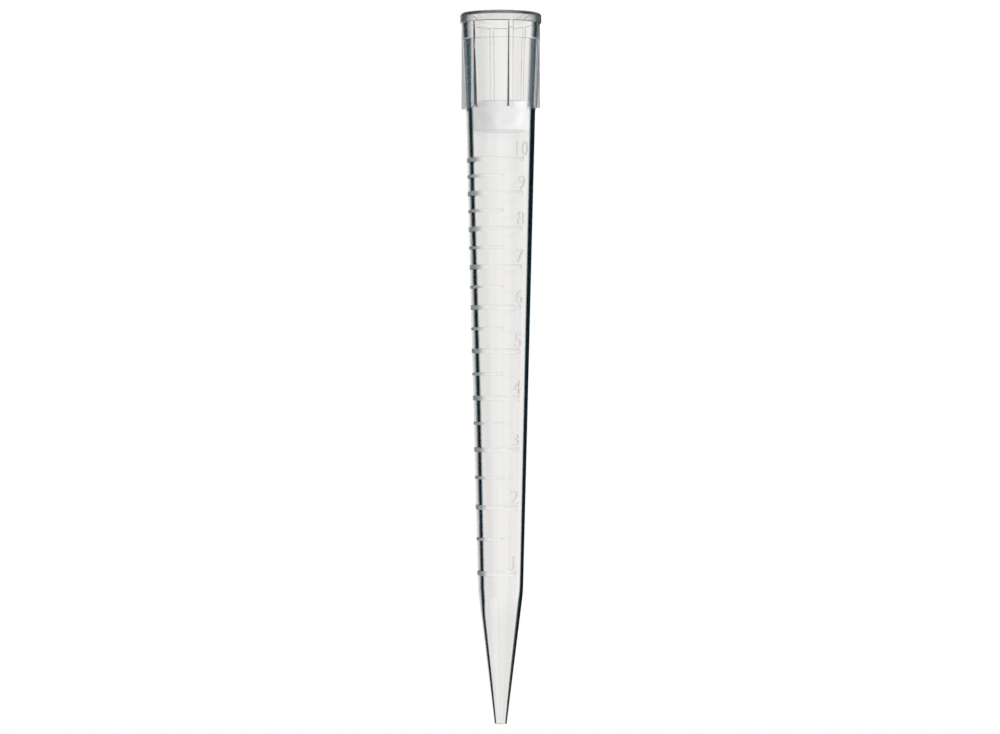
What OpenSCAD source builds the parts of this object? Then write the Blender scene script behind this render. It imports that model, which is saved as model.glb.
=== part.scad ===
// Graduated 10 mL filter tip for a large-volume pipettor.
// The tip stands on its wide rim, centred on Z, with the nozzle at the top.
// The front, where the scale is read, looks along -Y.

/* [Overall] */
// Length from the rim face to the nozzle opening
tip_length = 165; // [130:1:200]

/* [Rim] */
// Outer diameter of the rim band
rim_d = 18.9; // [18.4:0.1:22]
// Height of the rim band
rim_h = 2.3; // [1.5:0.1:4]
// Rounding of the rim band's outer edge at the rim face
rim_round = 0.4; // [0.1:0.05:0.6]

/* [Collar] */
// Outer diameter of the collar, just under the rim band
collar_d = 18.1; // [17.4:0.1:18.3]
// Outer diameter of the collar at its far end
collar_end_d = 16.4; // [16.2:0.1:17.2]
// Distance from the rim face to the end of the collar and its ribs
collar_end = 22.1; // [16:0.1:26]
// Length of the slope that leads from the collar down to the tube
collar_slope = 0.9; // [0.4:0.1:2]

/* [Ribs] */
// Number of grip ribs round the collar
rib_count = 6; // [3:1:12]
// Diameter across the outer edges of the ribs
rib_d = 18.7; // [18.3:0.1:20]
// Thickness of a rib
rib_t = 1; // [0.6:0.1:2]
// Angle from the front to the first rib
rib_angle = 15; // [0:1:59]

/* [Socket] */
// Diameter of the straight entry bore that takes the pipettor's nose
entry_d = 15; // [14.5:0.1:15.6]
// Depth of the straight entry bore
entry_depth = 5.4; // [3:0.1:9]
// Width of the chamfer that leads into the entry bore
lead_in = 0.3; // [0.1:0.05:0.6]
// Diameter of the tapered socket, just behind the entry step
socket_d = 14.4; // [13.8:0.1:14.4]
// Distance from the rim face to the end of the tapered socket, where the filter starts
socket_end = 20.6; // [14:0.1:24]

/* [Tube] */
// Outer diameter of the tube where it leaves the collar
tube_d = 16.1; // [15.4:0.1:16.1]
// Outer diameter of the tube at the shoulder
shoulder_d = 10.4; // [10:0.1:12]
// Bore diameter at the end of the tapered socket
bore_d = 13.42; // [12.6:0.01:13.6]
// Bore diameter at the shoulder
shoulder_bore_d = 8.62; // [8:0.01:9.2]

/* [Nozzle] */
// Length of the nozzle cone
nozzle_length = 30.6; // [20:0.1:45]
// Outer diameter of the nozzle at its opening
nozzle_d = 2.8; // [2.6:0.05:4]
// Diameter of the nozzle opening
orifice_d = 1.9; // [1:0.05:2]

/* [Filter] */
// Height of the filter plug
filter_h = 6.8; // [3:0.1:12]
// Radial clearance between the filter plug and the bore
filter_gap = 0.04; // [0.02:0.01:0.2]
// Rounding of the filter plug's edges
filter_round = 0.25; // [0.1:0.05:0.5]

/* [Scale] */
// Highest volume that is marked, in millilitres
scale_max = 10; // [4:1:10]
// Lowest volume that is marked, in millilitres
scale_min = 1; // [1:0.5:3]
// Volume between one mark and the next, in millilitres
scale_step = 0.5; // [0.5:0.5:1]
// Height that a mark stands out of the wall
mark_rise = 0.12; // [0.05:0.01:0.3]
// Width of the mark at a whole millilitre
major_w = 1.1; // [0.6:0.05:1.6]
// Width of the mark at a half millilitre
minor_w = 0.7; // [0.4:0.05:1.2]
// Angle that a whole-millilitre mark runs round the tube
major_sweep = 180; // [60:5:300]
// Angle that a half-millilitre mark runs round the tube
minor_sweep = 106; // [30:1:180]
// Angle from the front to the middle of every mark
mark_angle = 48; // [0:1:90]

/* [Hidden] */
$fn = 96;

// World angle of the front, where the scale is read
front = -90;
// Depth that ribs and marks are sunk into the wall so that they join it
root = 0.35;
// Steps in one rounded edge
round_steps = 6;
// How far a cutting shape passes through the face that it cuts
over = 1;

shoulder_z = tip_length - nozzle_length;
slope_start = collar_end - collar_slope / 2;
slope_end = collar_end + collar_slope / 2;

// Radius of a straight taper from r1 at z1 to r2 at z2
function taper(z, z1, r1, z2, r2) = r1 + (r2 - r1) * (z - z1) / (z2 - z1);

// Outer radius of the tube and the nozzle
function tube_r(z) = taper(z, collar_end, tube_d / 2, shoulder_z, shoulder_d / 2);
function nozzle_r(z) = taper(z, shoulder_z, shoulder_d / 2, tip_length, nozzle_d / 2);
function wall_r(z) = z > shoulder_z ? nozzle_r(z) : tube_r(z);

// Radius of the bore between the socket and the shoulder
function bore_r(z) = taper(z, socket_end, bore_d / 2, shoulder_z, shoulder_bore_d / 2);

// The liquid is held by two frustums: the nozzle, then the tube above it. A mark's
// height comes from the volume below it, so the scale follows every bore size.
nozzle_taper = (shoulder_bore_d - orifice_d) / 2 / nozzle_length;
bore_taper = (bore_d - shoulder_bore_d) / 2 / (shoulder_z - socket_end);
nozzle_volume = PI * (pow(shoulder_bore_d / 2, 3) - pow(orifice_d / 2, 3)) / (3 * nozzle_taper);

// Radius at which a cone holds a volume, measured from the end whose radius is r
function filled_r(volume, r, slope) = pow(pow(r, 3) + 3 * slope * volume / PI, 1 / 3);

// Height of the surface when the tip holds a volume, in cubic millimetres
function fill_z(volume) =
    volume < nozzle_volume
    ? tip_length - (filled_r(volume, orifice_d / 2, nozzle_taper) - orifice_d / 2) / nozzle_taper
    : shoulder_z - (filled_r(volume - nozzle_volume, shoulder_bore_d / 2, bore_taper)
        - shoulder_bore_d / 2) / bore_taper;

// Points of a quarter circle about [x, y], from angle a1 to angle a2
function arc(x, y, r, a1, a2) =
    [for (i = [0 : round_steps])
        let (a = a1 + (a2 - a1) * i / round_steps)
        [x + r * cos(a), y + r * sin(a)]];

// The outside of the moulding: rim band, collar, tube and nozzle cone
module outer_form() {
    rotate_extrude()
        polygon(concat(
            [[0, 0]],
            arc(rim_d / 2 - rim_round, rim_round, rim_round, -90, 0),
            [
                [rim_d / 2, rim_h],
                [collar_d / 2, rim_h],
                [collar_end_d / 2, slope_start],
                [tube_r(slope_end), slope_end],
                [shoulder_d / 2, shoulder_z],
                [nozzle_d / 2, tip_length],
                [0, tip_length]
            ]));
}

// Everything that is cut out of the moulding, from the mouth to the orifice
module inner_form() {
    // entry bore for the pipettor's nose
    translate([0, 0, -over])
        cylinder(d = entry_d, h = entry_depth + over);
    // lead-in chamfer at the mouth
    translate([0, 0, -over])
        cylinder(r1 = entry_d / 2 + lead_in + over, r2 = entry_d / 2, h = lead_in + over);
    // tapered socket, bore and nozzle
    rotate_extrude()
        polygon([
            [0, entry_depth - over],
            [socket_d / 2, entry_depth - over],
            [socket_d / 2, entry_depth],
            [bore_d / 2, socket_end],
            [shoulder_bore_d / 2, shoulder_z],
            [orifice_d / 2, tip_length],
            [orifice_d / 2, tip_length + over],
            [0, tip_length + over]
        ]);
}

// One rib: a flat radial plate from the rim band to the end of the collar
module rib() {
    inner = collar_end_d / 2 - root;
    intersection() {
        translate([inner, -rib_t / 2, rim_h / 2])
            cube([rib_d, rib_t, collar_end - rim_h / 2]);
        cylinder(d = rib_d, h = collar_end);
    }
}

module ribs() {
    for (i = [0 : rib_count - 1])
        rotate(front - rib_angle - i * 360 / rib_count)
            rib();
}

// One raised mark of the scale: a band with chamfered corners round part of the wall
module mark(z, w, sweep) {
    low = z - w / 2;
    high = z + w / 2;
    edge = mark_rise / 2;
    rotate(front - sweep / 2 + mark_angle)
        rotate_extrude(angle = sweep)
            polygon([
                [wall_r(low) - root, low],
                [wall_r(low) + mark_rise - edge, low],
                [wall_r(low + edge) + mark_rise, low + edge],
                [wall_r(high - edge) + mark_rise, high - edge],
                [wall_r(high) + mark_rise - edge, high],
                [wall_r(high) - root, high]
            ]);
}

// Raised marks at every step of the scale, wider and longer at whole millilitres
module scale_marks() {
    for (ml = [scale_min : scale_step : scale_max])
        if (ml == floor(ml))
            mark(fill_z(1000 * ml), major_w, major_sweep);
        else
            mark(fill_z(1000 * ml), minor_w, minor_sweep);
}

// The clear moulding, in one piece
module tip_body() {
    color([0.80, 0.88, 0.90, 0.45])
        difference() {
            union() {
                outer_form();
                ribs();
                scale_marks();
            }
            inner_form();
        }
}

// The porous plug that is pressed into the top of the bore, and takes its taper
module filter_plug() {
    filter_end = socket_end + filter_h;
    low_r = bore_r(socket_end) - filter_gap;
    high_r = bore_r(filter_end) - filter_gap;
    color("white")
        rotate_extrude()
            polygon(concat(
                [[0, socket_end]],
                arc(low_r - filter_round, socket_end + filter_round, filter_round, -90, 0),
                arc(high_r - filter_round, filter_end - filter_round, filter_round, 0, 90),
                [[0, filter_end]]));
}

tip_body();
filter_plug();
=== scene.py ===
import math

import bmesh
import bpy
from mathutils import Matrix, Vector


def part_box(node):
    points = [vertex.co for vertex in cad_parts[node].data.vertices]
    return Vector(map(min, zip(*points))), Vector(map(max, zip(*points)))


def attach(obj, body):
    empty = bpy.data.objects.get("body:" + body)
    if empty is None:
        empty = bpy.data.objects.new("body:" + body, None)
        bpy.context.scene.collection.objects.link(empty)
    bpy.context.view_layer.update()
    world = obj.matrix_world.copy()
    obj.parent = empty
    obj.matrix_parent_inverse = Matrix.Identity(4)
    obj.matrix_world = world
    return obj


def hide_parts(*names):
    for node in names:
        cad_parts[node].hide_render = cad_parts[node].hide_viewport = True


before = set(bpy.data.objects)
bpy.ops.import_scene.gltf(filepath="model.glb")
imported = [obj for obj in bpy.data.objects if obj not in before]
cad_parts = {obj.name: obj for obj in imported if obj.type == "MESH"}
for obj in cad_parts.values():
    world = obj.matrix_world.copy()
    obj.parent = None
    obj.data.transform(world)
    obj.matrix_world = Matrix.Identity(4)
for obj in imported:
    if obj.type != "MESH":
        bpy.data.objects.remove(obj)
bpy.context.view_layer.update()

# ---------------------------------------------------------------- Clear moulding
# The tip is one injection moulding in clear polypropylene: rim band, collar, tube,
# shoulder and nozzle cone round one tapered bore. Half of its outline is traced point
# by point and spun round the axis, one column of faces to each degree.

MM = 0.001
tip_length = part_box("tip_body")[1].z
rim_r = 9.45 * MM
rim_h = 2.3 * MM
collar_r = 9.05 * MM
collar_end_r = 8.2 * MM
collar_end = 22.1 * MM
collar_slope = 0.9 * MM
tube_top_r = 8.05 * MM
shoulder_r = 5.2 * MM
shoulder_z = tip_length - 30.6 * MM
nozzle_r = 1.4 * MM
slope_start = collar_end - collar_slope / 2
slope_end = collar_end + collar_slope / 2

entry_r = 7.5 * MM
entry_depth = 6.1 * MM
lead_in = 0.3 * MM
socket_r = 7.2 * MM
socket_end = 20.6 * MM
bore_r = 6.71 * MM
shoulder_bore_r = 4.31 * MM
orifice_r = 0.95 * MM

columns = 360
corner_steps = 5
smooth_up_to = 50
# Points this near to each other are one point, and a place this near to a size has that size.
weld = 0.001 * MM
hair = 0.01 * MM


def on_taper(z, z1, r1, z2, r2):
    """Value at z on the straight line from r1 at z1 to r2 at z2."""
    return r1 + (r2 - r1) * (z - z1) / (z2 - z1)


def tube_r(z):
    return on_taper(z, collar_end, tube_top_r, shoulder_z, shoulder_r)


# The moulded scale is a little shorter than the volumes alone would make it. It is drawn
# in towards one height, and past another its marks only shift.
scale_shrink = 0.0095
scale_fixed = 75.5 * MM
scale_shrink_end = 118 * MM


def fill_z(millilitres):
    """Height of a volume's mark: the nozzle fills first, then the tube above it."""
    volume = millilitres * 1e-6
    nozzle_slope = (shoulder_bore_r - orifice_r) / (tip_length - shoulder_z)
    bore_slope = (bore_r - shoulder_bore_r) / (shoulder_z - socket_end)
    nozzle_volume = math.pi * (shoulder_bore_r**3 - orifice_r**3) / (3 * nozzle_slope)
    if volume < nozzle_volume:
        radius = (orifice_r**3 + 3 * nozzle_slope * volume / math.pi) ** (1 / 3)
        height = tip_length - (radius - orifice_r) / nozzle_slope
    else:
        in_tube = volume - nozzle_volume
        radius = (shoulder_bore_r**3 + 3 * bore_slope * in_tube / math.pi) ** (1 / 3)
        height = shoulder_z - (radius - shoulder_bore_r) / bore_slope
    return height - scale_shrink * (min(height, scale_shrink_end) - scale_fixed)


# The scale has a mark at every half millilitre, from the least to the most that it shows.
# Its marks are rings in the outline first.
least, most = 1, 10
major_w, minor_w = 1.1 * MM, 0.7 * MM
marks = []
for halves in range(2 * least, 2 * most + 1):
    whole = halves % 2 == 0
    marks.append((fill_z(halves / 2), major_w if whole else minor_w, whole))

outline = [
    (orifice_r, tip_length),
    (shoulder_bore_r, shoulder_z),
    (bore_r, socket_end),
    (socket_r, entry_depth),
    (entry_r, entry_depth),
    (entry_r, lead_in),
    (entry_r + lead_in, 0),
    (rim_r, 0),
    (rim_r, rim_h),
    (collar_r, rim_h),
    (collar_end_r, slope_start),
    (tube_r(slope_end), slope_end),
]
for z, width, whole in reversed(marks):
    outline.append((tube_r(z - width / 2), z - width / 2))
    outline.append((tube_r(z + width / 2), z + width / 2))
outline.append((shoulder_r, shoulder_z))
outline.append((nozzle_r, tip_length))
outline.append(outline[0])

# Moulded corners are never quite sharp. Each is rounded by its own size.
rounded_corners = [
    (rim_r, 0, 0.7 * MM),
    (rim_r, rim_h, 0.15 * MM),
    (collar_r, rim_h, 0.1 * MM),
    (entry_r, lead_in, 0.1 * MM),
    (entry_r + lead_in, 0, 0.1 * MM),
    (entry_r, entry_depth, 0.05 * MM),
    (socket_r, entry_depth, 0.05 * MM),
    (collar_end_r, slope_start, 0.3 * MM),
    (tube_r(slope_end), slope_end, 0.3 * MM),
    (shoulder_r, shoulder_z, 1.2 * MM),
    (shoulder_bore_r, shoulder_z, 1.2 * MM),
    (nozzle_r, tip_length, 0.2 * MM),
    (orifice_r, tip_length, 0.2 * MM),
]


def deselect_everything():
    if bpy.context.object and bpy.context.object.mode == "EDIT":
        bpy.ops.object.mode_set(mode="OBJECT")
    bpy.ops.object.select_all(action="DESELECT")


def edit_only(piece):
    deselect_everything()
    piece.select_set(True)
    bpy.context.view_layer.objects.active = piece
    bpy.ops.object.mode_set(mode="EDIT")


def pick(piece, kind, wanted):
    """Selects the vertices, edges or faces whose middle passes a test, and nothing else."""
    bpy.ops.mesh.select_mode(type=kind)
    bpy.ops.mesh.select_all(action="DESELECT")
    mesh = bmesh.from_edit_mesh(piece.data)
    for item in {"VERT": mesh.verts, "EDGE": mesh.edges, "FACE": mesh.faces}[kind]:
        points = [item.co] if kind == "VERT" else [point.co for point in item.verts]
        if wanted(sum(points, Vector()) / len(points), item):
            item.select_set(True)
    mesh.select_flush_mode()
    bmesh.update_edit_mesh(piece.data)


deselect_everything()
bpy.ops.mesh.primitive_plane_add(size=MM, location=(outline[0][0], 0, outline[0][1]))
tip = bpy.context.object
tip.name = "clear_tip"
bpy.ops.object.transform_apply(location=True, rotation=True, scale=True)
edit_only(tip)
bpy.ops.mesh.select_all(action="SELECT")
bpy.ops.mesh.merge(type="CENTER")
for (r1, z1), (r2, z2) in zip(outline, outline[1:]):
    bpy.ops.mesh.extrude_region_move(TRANSFORM_OT_translate={"value": (r2 - r1, 0, z2 - z1)})
bpy.ops.mesh.select_all(action="SELECT")
bpy.ops.mesh.remove_doubles(threshold=weld)
for radius, height, size in rounded_corners:
    corner = Vector((radius, 0, height))
    pick(tip, "VERT", lambda at, item: (at - corner).length < hair)
    bpy.ops.mesh.bevel(offset=size, segments=corner_steps, affect="VERTICES")
bpy.ops.mesh.select_all(action="SELECT")
bpy.ops.mesh.spin(steps=columns, angle=2 * math.pi, center=(0, 0, 0), axis=(0, 0, 1))
bpy.ops.mesh.select_all(action="SELECT")
bpy.ops.mesh.remove_doubles(threshold=weld)
bpy.ops.mesh.select_all(action="SELECT")
bpy.ops.mesh.normals_make_consistent(inside=False)

# ---------------------------------------------------------------- Scale marks
# Each mark is a low ridge moulded on the wall, with chamfered edges and a fine matt
# texture, so that it shows on clear plastic. The whole millilitres run nearly half way round.

mark_rise = 0.12 * MM
mark_slope = 0.2 * MM
# Where a mark ends, in degrees from the front: below 0 towards +X, above 0 towards -X.
major_ends = (-110, 43)
minor_ends = (-101, 5)
matt_slot = 1
# How far under the outside of the tube a face may lie and still be one of its outer faces.
skin = 0.1 * MM


def turn_from_front(at):
    """Angle from the front, -Y, in degrees, positive towards -X."""
    return math.degrees(math.atan2(-at.x, -at.y))


def on_a_mark(at, face):
    if math.hypot(at.x, at.y) < tube_r(at.z) - skin:
        return False
    for z, width, whole in marks:
        if abs(at.z - z) < width / 2:
            first, last = major_ends if whole else minor_ends
            return first < turn_from_front(at) < last
    return False


bpy.ops.object.mode_set(mode="OBJECT")
for name in ("clear polypropylene", "matt polypropylene"):
    tip.data.materials.append(bpy.data.materials.new(name))
clear, matt = tip.data.materials
edit_only(tip)
pick(tip, "FACE", on_a_mark)
tip.active_material_index = matt_slot
bpy.ops.object.material_slot_assign()

# A mark rises straight at first, then by a steep chamfer and a flatter one.
bpy.ops.mesh.extrude_region_shrink_fatten(TRANSFORM_OT_shrink_fatten={"value": 0.2 * mark_rise})
for inward, upward in ((0.3, 0.5), (0.7, 0.3)):
    bpy.ops.mesh.inset(thickness=inward * mark_slope, depth=upward * mark_rise)

# ---------------------------------------------------------------- Numbers
# The millilitres are moulded above the marks as thin raised figures, upright when the
# nozzle points down. They are drawn flat, cut into narrow strips and wrapped on the wall.

figure_height = 3.2 * MM
figure_rise = 0.12 * MM
figure_root = 0.25 * MM
above_mark = 0.9 * MM
# The figures follow the narrowing tube: their middle, in degrees from the front, at two heights.
wide_z, wide_turn = 35 * MM, 40.3
narrow_z, narrow_turn = 115 * MM, 35
# In text units, where a line of text is 1 high: how far a figure can reach, how wide each
# strip is, how much thinner the strokes are than the font's, and how near points are welded.
text_reach = 1
strip = 0.07
thinner = 0.004
text_weld = 0.0005


def wrap_on_wall(figure, mark_z):
    """Takes a flat figure, drawn in text units, to its place on the tube above its mark."""
    points = figure.data.vertices
    left, right = min(point.co.x for point in points), max(point.co.x for point in points)
    grow = figure_height / max(point.co.y for point in points)
    middle = math.radians(on_taper(mark_z, wide_z, wide_turn, narrow_z, narrow_turn))
    for point in points:
        z = mark_z - above_mark - point.co.y * grow
        across = (point.co.x - (left + right) / 2) * grow
        turn = middle + across / tube_r(mark_z)
        r = tube_r(z) + (figure_rise if point.co.z > 0 else -figure_root)
        point.co = (-r * math.sin(turn), -r * math.cos(turn), z)


figures = []
for millilitres in range(least, most + 1):
    deselect_everything()
    bpy.ops.object.text_add()
    figure = bpy.context.object
    figure.data.body = str(millilitres)
    figure.data.extrude = 1
    figure.data.resolution_u = 4
    figure.data.offset = -thinner
    bpy.ops.object.convert(target="MESH")
    bpy.ops.object.mode_set(mode="EDIT")
    bpy.ops.mesh.select_all(action="SELECT")
    bpy.ops.mesh.remove_doubles(threshold=text_weld)
    for step in range(int(2 * text_reach / strip)):
        cut_x = -text_reach + (step + 0.5) * strip
        bpy.ops.mesh.select_all(action="SELECT")
        bpy.ops.mesh.bisect(plane_co=(cut_x, 0, 0), plane_no=(1, 0, 0))
    bpy.ops.object.mode_set(mode="OBJECT")
    wrap_on_wall(figure, fill_z(millilitres))
    figure.data.materials.clear()
    figure.data.materials.append(clear)
    figure.data.materials.append(matt)
    for face in figure.data.polygons:
        face.material_index = matt_slot
    figures.append(figure)

# ---------------------------------------------------------------- Grip ribs
# Six flat ribs run down the collar from the rim band. They stop the tip from sinking
# into its rack, and give the fingers a hold. One is shaped and spun round to the others.

rib_count = 6
rib_t = 1.0 * MM
rib_r = 9.35 * MM
rib_edge = 0.2 * MM
rib_flare = 0.12 * MM
rib_start = rim_h / 2
rib_turn = 15


def rib_root(z):
    return on_taper(z, rim_h, collar_r, collar_end, collar_end_r) + rib_flare


deselect_everything()
bpy.ops.mesh.primitive_cube_add(
    size=1,
    location=(0, -(rib_r + rib_root(collar_end)) / 2, (rib_start + collar_end) / 2),
    scale=(rib_t, rib_r - rib_root(collar_end), collar_end - rib_start),
)
ribs = bpy.context.object
ribs.name = "ribs"
bpy.ops.object.transform_apply(location=True, rotation=True, scale=True)
edit_only(ribs)
pick(ribs, "VERT", lambda at, item: at.y > -rib_r + hair and at.z < rim_h)
bpy.ops.transform.translate(value=(0, rib_root(collar_end) - rib_root(rib_start), 0))
pick(ribs, "EDGE", lambda at, item: at.y < -rib_r + hair and item.calc_length() > 2 * rib_t)
bpy.ops.mesh.bevel(offset=rib_edge, segments=4, affect="EDGES")

# The root spreads towards the collar, and ends a little inside its wall.
pick(ribs, "FACE", lambda at, item: item.normal.y > 0.5)
bpy.ops.mesh.extrude_region_move(TRANSFORM_OT_translate={"value": (0, 2 * rib_flare, 0)})
bpy.ops.transform.resize(value=(1 + 4 * rib_flare / rib_t, 1, 1), center_override=(0, 0, 0))
bpy.ops.object.mode_set(mode="OBJECT")
ribs.rotation_euler.z = -math.radians(rib_turn)
bpy.ops.object.transform_apply(location=True, rotation=True, scale=True)
edit_only(ribs)
bpy.ops.mesh.select_all(action="SELECT")
bpy.ops.mesh.spin(
    steps=rib_count - 1,
    dupli=True,
    angle=2 * math.pi * (rib_count - 1) / rib_count,
    center=(0, 0, 0),
    axis=(0, 0, 1),
)
bpy.ops.object.mode_set(mode="OBJECT")
ribs.data.materials.append(clear)
ribs.data.materials.append(matt)

# The ribs and the figures are of the same plastic, so each set is joined to the moulding
# with no inner wall left between them.
deselect_everything()
for figure in figures:
    figure.select_set(True)
bpy.context.view_layer.objects.active = figures[0]
bpy.ops.object.join()
for grown in (ribs, figures[0]):
    deselect_everything()
    tip.select_set(True)
    bpy.context.view_layer.objects.active = tip
    union = tip.modifiers.new("grown on", "BOOLEAN")
    union.operation = "UNION"
    union.solver = "EXACT"
    union.object = grown
    bpy.ops.object.modifier_apply(modifier=union.name)
    bpy.data.objects.remove(grown)
bpy.ops.object.shade_smooth_by_angle(angle=math.radians(smooth_up_to))
even = tip.modifiers.new("even shading", "WEIGHTED_NORMAL")
even.keep_sharp = True
bpy.ops.object.modifier_apply(modifier=even.name)

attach(tip, "root")
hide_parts("tip_body")

# ---------------------------------------------------------------- Clear polypropylene
# The wall is plain clear polypropylene, which the polished mould leaves smooth inside and
# out. It lets the light through. Where it is seen edge on, its colour is painted dark: painted
# shade, set by how nearly edge on the wall is seen.

plastic_ior = 1.49
streak, streak_stretch = 2 * MM, 50
streak_dull, streak_bright = (0.945, 0.945, 0.94, 1), (0.985, 0.985, 0.985, 1)
cone_grey = (0.935, 0.935, 0.93, 1)
# Apart from rim_pale, the colours below are painted shade on the tube, collar, rib flanks and rim.
tube_shade, collar_shade = (0.81, 0.81, 0.805, 1), (0.72, 0.73, 0.73, 1)
tube_dark, tube_darkest = (0.00001, 0.0005, 0.0013, 1), (0.000003, 0.00015, 0.0004, 1)
collar_dark, collar_darkest = (0.004, 0.014, 0.021, 1), (0.0006, 0.003, 0.0045, 1)
collar_edge_dark, collar_edge_grey = (0.16, 0.19, 0.19, 1), (0.45, 0.48, 0.48, 1)
flank_dark, flank_pale = (0.22, 0.24, 0.24, 1), (0.85, 0.87, 0.87, 1)
flank_at_mouth, flank_shade_black = (0.16, 0.17, 0.17, 1), (0.014, 0.016, 0.016, 1)
rim_pale, ledge_grey = (0.7, 0.68, 0.65, 1), (0.1, 0.1, 0.1, 1)
rim_grey, rim_black = (0.15, 0.15, 0.13, 1), (0.016, 0.02, 0.021, 1)
arc_blue, arc_black = (0.05, 0.065, 0.08, 1), (0.003, 0.006, 0.009, 1)


class Socket:
    """A node socket that maths can be written with: each operator adds its Math node."""

    def __init__(self, tree, socket=None):
        self.tree = tree
        self.socket = socket

    def node(self, kind, settings=None, **inputs):
        """Adds a node and returns its first output. An input is given by its name, with _ for
        a space, or by i and its number where several inputs have one name."""
        made = self.tree.nodes.new(kind)
        for name, value in (settings or {}).items():
            setattr(made, name, value)
        for name, value in inputs.items():
            numbered = name[0] == "i" and name[1:].isdigit()
            at = made.inputs[int(name[1:]) if numbered else name.replace("_", " ")]
            if isinstance(value, Socket):
                self.tree.links.new(value.socket, at)
            else:
                at.default_value = value
        return Socket(self.tree, made.outputs[0] if made.outputs else None)

    def __getitem__(self, output):
        """Another output of the same node, by its name or number."""
        return Socket(self.tree, self.socket.node.outputs[output])

    def maths(self, operation, a, b=0.0):
        return self.node("ShaderNodeMath", {"operation": operation}, i0=a, i1=b)

    def __add__(self, other):
        return self.maths("ADD", self, other)

    def __sub__(self, other):
        return self.maths("SUBTRACT", self, other)

    def __rsub__(self, other):
        return self.maths("SUBTRACT", other, self)

    def __mul__(self, other):
        return self.maths("MULTIPLY", self, other)

    def __truediv__(self, other):
        return self.maths("DIVIDE", self, other)

    __radd__ = __add__
    __rmul__ = __mul__


def open_nodes(owner):
    """Gives a material or a world its nodes, and a wrapper to add more of them with."""
    owner.use_nodes = True
    return Socket(owner.node_tree)


def set_shader(nodes, plain, varying):
    """Sets the shader's plain values, and links what varies over the surface."""
    shader = nodes.tree.nodes["Principled BSDF"]
    for name, value in plain.items():
        shader.inputs[name].default_value = value
    for name, value in varying.items():
        nodes.tree.links.new(value.socket, shader.inputs[name])


def smooth_step(value, start, end):
    """0 up to the start and 1 from the end on, with a soft step between them."""
    settings = {"interpolation_type": "SMOOTHSTEP"}
    return value.node("ShaderNodeMapRange", settings, Value=value, From_Min=start, From_Max=end)


def between(value, rise_start, rise_end, fall_start, fall_end):
    """1 between two places and 0 outside them, with a soft step at each."""
    return smooth_step(value, rise_start, rise_end) * smooth_step(value, fall_end, fall_start)


def blend(share, first, second):
    """Mixes two colours, either of them given as a value or taken from another blend."""
    return share.node("ShaderNodeMix", {"data_type": "RGBA"}, i0=share, i6=first, i7=second)[2]


def axes(nodes, vector):
    """The X, Y and Z of a vector."""
    parts = nodes.node("ShaderNodeSeparateXYZ", Vector=vector)
    return [parts[axis] for axis in "XYZ"]


# How nearly edge on a point is seen, which way its surface looks, and where it lies.
nodes = open_nodes(clear)
facing = nodes.node("ShaderNodeLayerWeight", Blend=0.5)["Facing"]
spot = nodes.node("ShaderNodeTexCoord")
normal_x, normal_y, normal_z = axes(nodes, spot["Normal"])
place_x, place_y, place_z = axes(nodes, spot["Object"])
outward = normal_x * place_x + normal_y * place_y
side = smooth_step(normal_x, 0.6, -0.6)

# Only light that comes in through the outer wall is tinted, so that no tint counts twice.
entering = 1 - nodes.node("ShaderNodeNewGeometry")["Backfacing"]
outside = entering * smooth_step(outward, -0.2 * MM, 0.2 * MM)


def tinted(share, first, second):
    """Blends the light let through: a clear surface lets through the root of its base colour."""
    return blend(outside * share * (2 - share), first, second)


# The wall is faintly streaked along its length, and evenly grey on the nozzle cone.
along = nodes.node("ShaderNodeMapping", Vector=spot["Object"], Scale=(1, 1, 1 / streak_stretch))
flow = nodes.node("ShaderNodeTexNoise", Vector=along, Scale=1 / streak, Detail=2)
clear_tint = blend(smooth_step(flow, 0.3, 0.7), streak_dull, streak_bright)
on_nozzle = smooth_step(place_z, shoulder_z, shoulder_z + 8 * MM)
clear_tint = blend(on_nozzle, clear_tint, cone_grey)

# Painted shade: the +X side, away from the softbox, is a little darker up to the nozzle cone.
shaded = smooth_step(facing, 0, 0.18) * (1 - side)
shaded = shaded * smooth_step(place_z, shoulder_z + 15 * MM, shoulder_z)

# The tube's dark band is painted shade. It leaves a paler edge outside it on the +X side, and
# reaches nearly to the edge on the other. It lies a little nearer the middle along the tube, and
# is wider on the cone.
slide = 0.09 * between(place_z, collar_end, 100 * MM, shoulder_z, shoulder_z + 6 * MM)
spread = 0.084 * smooth_step(place_z, shoulder_z, tip_length)
on_cone = 0.05 * smooth_step(place_z, shoulder_z - 4 * MM, shoulder_z + 4 * MM)
plus_x_band = smooth_step(facing + slide + spread, 0.36, 0.47)
plus_x_band = plus_x_band * smooth_step(facing + slide, 0.78, 0.53)
minus_x_band = smooth_step(facing + on_cone + spread, 0.42, 0.53)
minus_x_band = minus_x_band * smooth_step(facing, 1.02, 0.82)
tube_shade_band = plus_x_band * (1 - side) + minus_x_band * side
tube_shade_band = tube_shade_band * smooth_step(normal_z, 0.6, 0.3)
tube_tint = tinted(shaded, clear_tint, tube_shade)
tube_tint = tinted(tube_shade_band, tube_tint, blend(side, tube_dark, tube_darkest))

# The collar's band of painted shade is broader. It is darkest round the entry bore, and broken
# by a lighter line at the step.
near_mouth = smooth_step(place_z, entry_depth + 0.2 * MM, entry_depth - 0.2 * MM)
at_step = between(
    place_z,
    entry_depth - 0.35 * MM,
    entry_depth - 0.1 * MM,
    entry_depth + 0.1 * MM,
    entry_depth + 0.35 * MM,
)
turned = facing - near_mouth * (0.1 - 0.05 * side)
collar_shade_band = smooth_step(turned, 0.22, 0.46) * (1 - side) + smooth_step(turned, 0.29, 0.47) * side
collar_shade_band = collar_shade_band * (1 - 0.5 * at_step)
collar_edge = blend(side, collar_edge_dark, collar_edge_grey)
collar_deep = blend(near_mouth, collar_dark, collar_darkest)
collar_deep = blend(smooth_step(turned - 0.06 * side, 0.54, 0.7), collar_deep, collar_edge)
collar_tint = tinted(shaded, clear_tint, collar_shade)
collar_tint = tinted(collar_shade_band, collar_tint, collar_deep)
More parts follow.
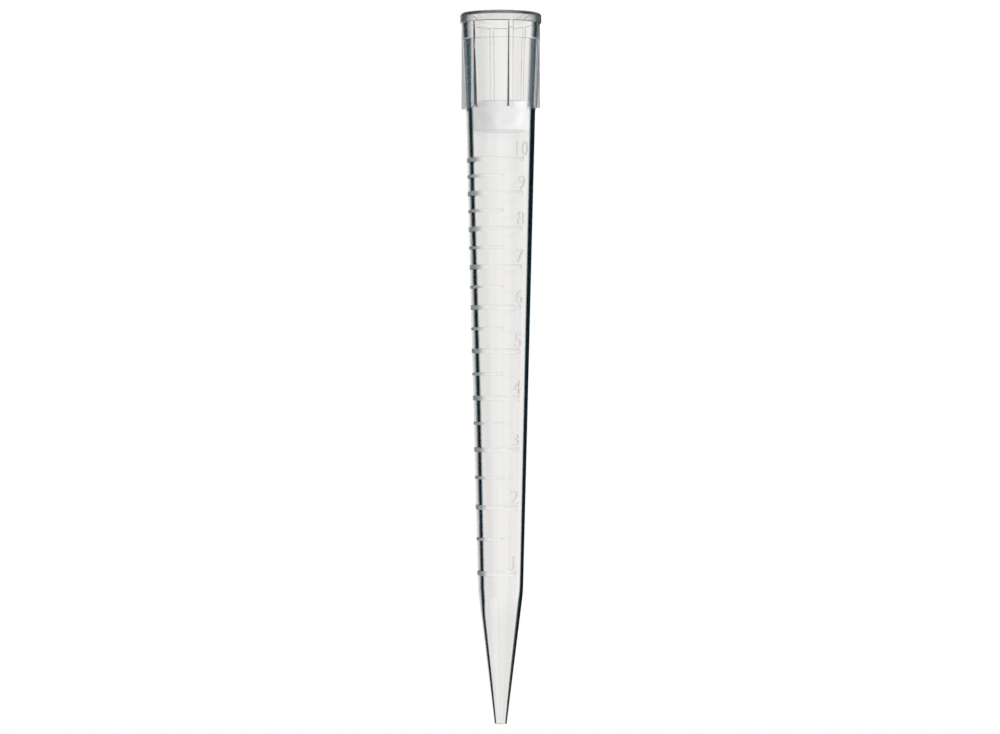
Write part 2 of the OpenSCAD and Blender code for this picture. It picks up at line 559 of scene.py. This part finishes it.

# Painted shade: the flanks of a rib are grey, and the one that looks towards the middle is
# nearly black.
flank = smooth_step(outward, 6 * MM, 2 * MM)
flank_tint = blend(near_mouth, blend(side, flank_dark, flank_pale), flank_at_mouth)
inner_flank = smooth_step(normal_x * place_x, 0, -0.6 * MM) * smooth_step(facing, 0.1, 0.2)
collar_tint = tinted(flank, collar_tint, flank_tint)
collar_tint = tinted(inner_flank, collar_tint, flank_shade_black)

# The rim band is the thickest of all and is tinted pale. Painted shade darkens its sides where
# seen edge on, shows its rounded edge as a dark arc round the mouth, and the ledge under it
# as a grey line.
on_rim = smooth_step(place_z, rim_h + 0.1 * MM, rim_h)
rim_side = smooth_step(facing, 0.22, 0.5) * on_rim
rim_wall = blend(smooth_step(facing, 0.35, 0.5), rim_grey, rim_black)
rim_arc = between(place_z, 0.2 * MM, 0.38 * MM, 0.7 * MM, 0.95 * MM)
arc_tint = blend(smooth_step(facing, 0.03, 0.25), arc_blue, arc_black)
ledge = smooth_step(normal_z, 0.2, 0.6) * smooth_step(place_z, 2 * rim_h, 1.5 * rim_h)
collar_tint = tinted(on_rim, collar_tint, rim_pale)
collar_tint = tinted(rim_side, collar_tint, rim_wall)
collar_tint = tinted(rim_arc, collar_tint, arc_tint)
collar_tint = tinted(ledge, collar_tint, ledge_grey)

on_tube = smooth_step(place_z, slope_start, slope_end)
tip_tint = blend(on_tube, collar_tint, tube_tint)
polished = {"Roughness": 0.0, "IOR": plastic_ior, "Transmission Weight": 1.0}
set_shader(nodes, polished, {"Base Color": tip_tint})

# ---------------------------------------------------------------- Matt polypropylene
# The mould is finely etched where it shapes the marks and the figures, so they are matt.
# They are grey and grainy. Painted shade makes them darker on the -X side and round the side
# of the tube, and bluish where seen edge on.

matt_grain = 0.2 * MM
matt_dull, matt_bright = (0.66, 0.66, 0.65, 1), (0.76, 0.76, 0.75, 1)
# These colours are painted shade on the marks and figures.
matt_shade = (0.6, 0.6, 0.59, 1)
matt_side_shade, matt_edge_shade = (0.27, 0.27, 0.26, 1), (0.27, 0.36, 0.4, 1)

nodes = open_nodes(matt)
facing = nodes.node("ShaderNodeLayerWeight", Blend=0.5)["Facing"]
spot = nodes.node("ShaderNodeTexCoord")
place_x, place_y = axes(nodes, spot["Object"])[:2]
round_side = place_x * place_x / (place_x * place_x + place_y * place_y)
round_side = smooth_step(round_side, 0.22, 0.6) * (0.35 + 0.65 * smooth_step(place_x, 0, 3 * MM))
grain = nodes.node("ShaderNodeTexNoise", Vector=spot["Object"], Scale=1 / matt_grain, Detail=2)
matt_tint = blend(grain, matt_dull, matt_bright)
matt_tint = blend(smooth_step(place_x, 0, -3.5 * MM), matt_tint, matt_shade)
matt_tint = blend(round_side, matt_tint, matt_side_shade)
matt_tint = blend(smooth_step(facing, 0.4, 0.5), matt_tint, matt_edge_shade)
etched = {"Roughness": 0.34, "IOR": plastic_ior, "Transmission Weight": 0.82}
set_shader(nodes, etched, {"Base Color": matt_tint})

# ---------------------------------------------------------------- Filter plug
# The filter is a short plug of white sintered polyethylene, pressed into the bore just
# past the collar. It keeps its plain turned shape, and shows the beads it is made of.

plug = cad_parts["filter_plug"]
bead = 0.25 * MM
patch = 2.5 * MM
plug_dull, plug_white, plug_end_shade = (0.9, 0.9, 0.9, 1), (0.99, 0.99, 0.99, 1), (0.72, 0.72, 0.72, 1)
porous = bpy.data.materials.new("porous polyethylene")
nodes = open_nodes(porous)
spot = nodes.node("ShaderNodeTexCoord")
beads = nodes.node("ShaderNodeTexVoronoi", Vector=spot["Object"], Scale=1 / bead)["Distance"]
bumps = nodes.node("ShaderNodeBump", Strength=0.3, Distance=bead / 5, Height=1 - beads)
patches = nodes.node("ShaderNodeTexNoise", Vector=spot["Object"], Scale=1 / patch, Detail=3)
plug_tint = blend(smooth_step(patches, 0.3, 0.7), plug_dull, plug_white)
# The end face towards the nozzle is painted greyer: painted shade, as light reaches it only along
# the tube.
on_end = smooth_step(axes(nodes, spot["Normal"])[2], 0.3, 0.7)
plug_tint = blend(on_end, plug_tint, plug_end_shade)
set_shader(nodes, {"Roughness": 0.9}, {"Base Color": plug_tint, "Normal": bumps})
plug.data.materials.clear()
plug.data.materials.append(porous)

# ---------------------------------------------------------------- Camera
# The camera looks level at the middle of the tip. It is turned over, so that the tip is
# seen nozzle down, as it is held in use.

scene = bpy.context.scene
view_distance = 0.79
view_height = 82.1 * MM
view_x = 0.15 * MM
camera_data = bpy.data.cameras.new("camera")
camera_data.sensor_width = 36
camera_data.lens = 122.4
camera = bpy.data.objects.new("camera", camera_data)
camera.location = (view_x, -view_distance, view_height)
camera.rotation_euler = (math.radians(90), math.radians(180), 0)
scene.collection.objects.link(camera)
scene.camera = camera

# ---------------------------------------------------------------- Floor
# The tip stands on its rim on a pale floor, which keeps its shadow. Light that has passed
# through the tip, or is mirrored by it, goes on through the floor to the backdrop.

floor_size = 8
floor_gap = 0.1 * MM
white, off_white = (1, 1, 1, 1), (0.9, 0.9, 0.9, 1)
deselect_everything()
bpy.ops.mesh.primitive_plane_add(size=floor_size, location=(0, 0, -floor_gap))
floor = bpy.context.object
floor.name = "floor"
bpy.ops.object.transform_apply(location=True, rotation=True, scale=True)
floor_paint = bpy.data.materials.new("pale floor")
nodes = open_nodes(floor_paint)
nodes.tree.nodes.clear()
rays = nodes.node("ShaderNodeLightPath")
diffuse = nodes.node("ShaderNodeBsdfDiffuse", Color=off_white)
glow = nodes.node("ShaderNodeEmission", Color=white, Strength=1.0)
see_through = nodes.node("ShaderNodeBsdfTransparent")
floor_x, floor_y = axes(nodes, nodes.node("ShaderNodeTexCoord")["Object"])[:2]
away = nodes.maths("SQRT", floor_x * floor_x + floor_y * floor_y)
glowing = rays["Is Camera Ray"] * (0.8 + 0.2 * smooth_step(away, 100 * MM, 500 * MM))
bent = rays["Is Transmission Ray"] + rays["Is Glossy Ray"]
pale = nodes.node("ShaderNodeMixShader", i0=glowing, i1=diffuse, i2=glow)
pale = nodes.node("ShaderNodeMixShader", i0=bent, i1=pale, i2=see_through)
nodes.node("ShaderNodeOutputMaterial", Surface=pale)
floor.data.materials.append(floor_paint)

# ---------------------------------------------------------------- Backdrop
# The backdrop is white, and lights the tip evenly. Seen through the clear plastic, it ends
# in the dark low down. Mirrored in the plastic are pale screens round a dark studio.

studio_dark, screen_pale = (0.02, 0.03, 0.035, 1), (0.9, 0.9, 0.9, 1)
backdrop_pale, backdrop_dark = (0.92, 0.91, 0.9, 1), (0.001, 0.02, 0.035, 1)

world = bpy.data.worlds.new("studio")
scene.world = world
nodes = open_nodes(world)
nodes.tree.nodes.clear()
rays = nodes.node("ShaderNodeLightPath")
x, y, z = axes(nodes, nodes.node("ShaderNodeTexCoord")["Generated"])
level = nodes.maths("SQRT", x * x + y * y)

# Each screen: its middle round from the front towards +X, half its width, the softness of
# its sides, its lowest and its highest edge above the level, all in degrees.
screens = [
    (165, 16, 4, -19, 30),
    (255, 16, 4, -19, 30),
    (347, 22, 6, -19, 30),
    (210, 16, 4, -60, -19),
]


def cos_of(degrees):
    return math.cos(math.radians(degrees))


def sin_of(degrees):
    return math.sin(math.radians(degrees))


on_screen = 0.0
for middle, half, soft, lowest, highest in screens:
    toward = (x * sin_of(middle) - y * cos_of(middle)) / level
    screen = smooth_step(toward, cos_of(half + soft), cos_of(half - soft)) * between(
        z, sin_of(lowest - 1), sin_of(lowest + 1), sin_of(highest - 1), sin_of(highest + 1)
    )
    on_screen = nodes.maths("MAXIMUM", on_screen, screen)

past_end = smooth_step(z, sin_of(-38), sin_of(-44))
plain, mirrored, through = [
    nodes.node("ShaderNodeBackground", Color=colour, Strength=1.0)
    for colour in (
        white,
        blend(on_screen, studio_dark, screen_pale),
        blend(past_end, backdrop_pale, backdrop_dark),
    )
]

# Light that has fallen on the floor or the plug always finds the plain white backdrop.
not_lighting = 1 - nodes.maths("GREATER_THAN", rays["Diffuse Depth"], 0.5)
is_mirrored = rays["Is Glossy Ray"] * not_lighting
is_through = rays["Is Transmission Ray"] * not_lighting
studio = nodes.node("ShaderNodeMixShader", i0=is_mirrored, i1=plain, i2=mirrored)
studio = nodes.node("ShaderNodeMixShader", i0=is_through, i1=studio, i2=through)
nodes.node("ShaderNodeOutputWorld", Surface=studio)

# ---------------------------------------------------------------- Lamps
# A large softbox stands high on the -X side, and a weaker one fills in from the other.
# Both are aimed low on the tip, and neither is mirrored in the plastic.

lamp_size = 1.0
lamp_aim = Vector((0, 0, 30 * MM))
lamps = [("softbox", 20.5, (-0.65, -0.35, 0.85)), ("fill", 5.5, (0.6, -0.6, 0.8))]
for name, watts, place in lamps:
    lamp_data = bpy.data.lights.new(name, "AREA")
    lamp_data.shape = "SQUARE"
    lamp_data.size = lamp_size
    lamp_data.energy = watts
    lamp = bpy.data.objects.new(name, lamp_data)
    lamp.location = place
    lamp.rotation_euler = (lamp_aim - lamp.location).to_track_quat("-Z", "Y").to_euler()
    lamp.visible_glossy = False
    scene.collection.objects.link(lamp)

scene.view_settings.view_transform = "Standard"
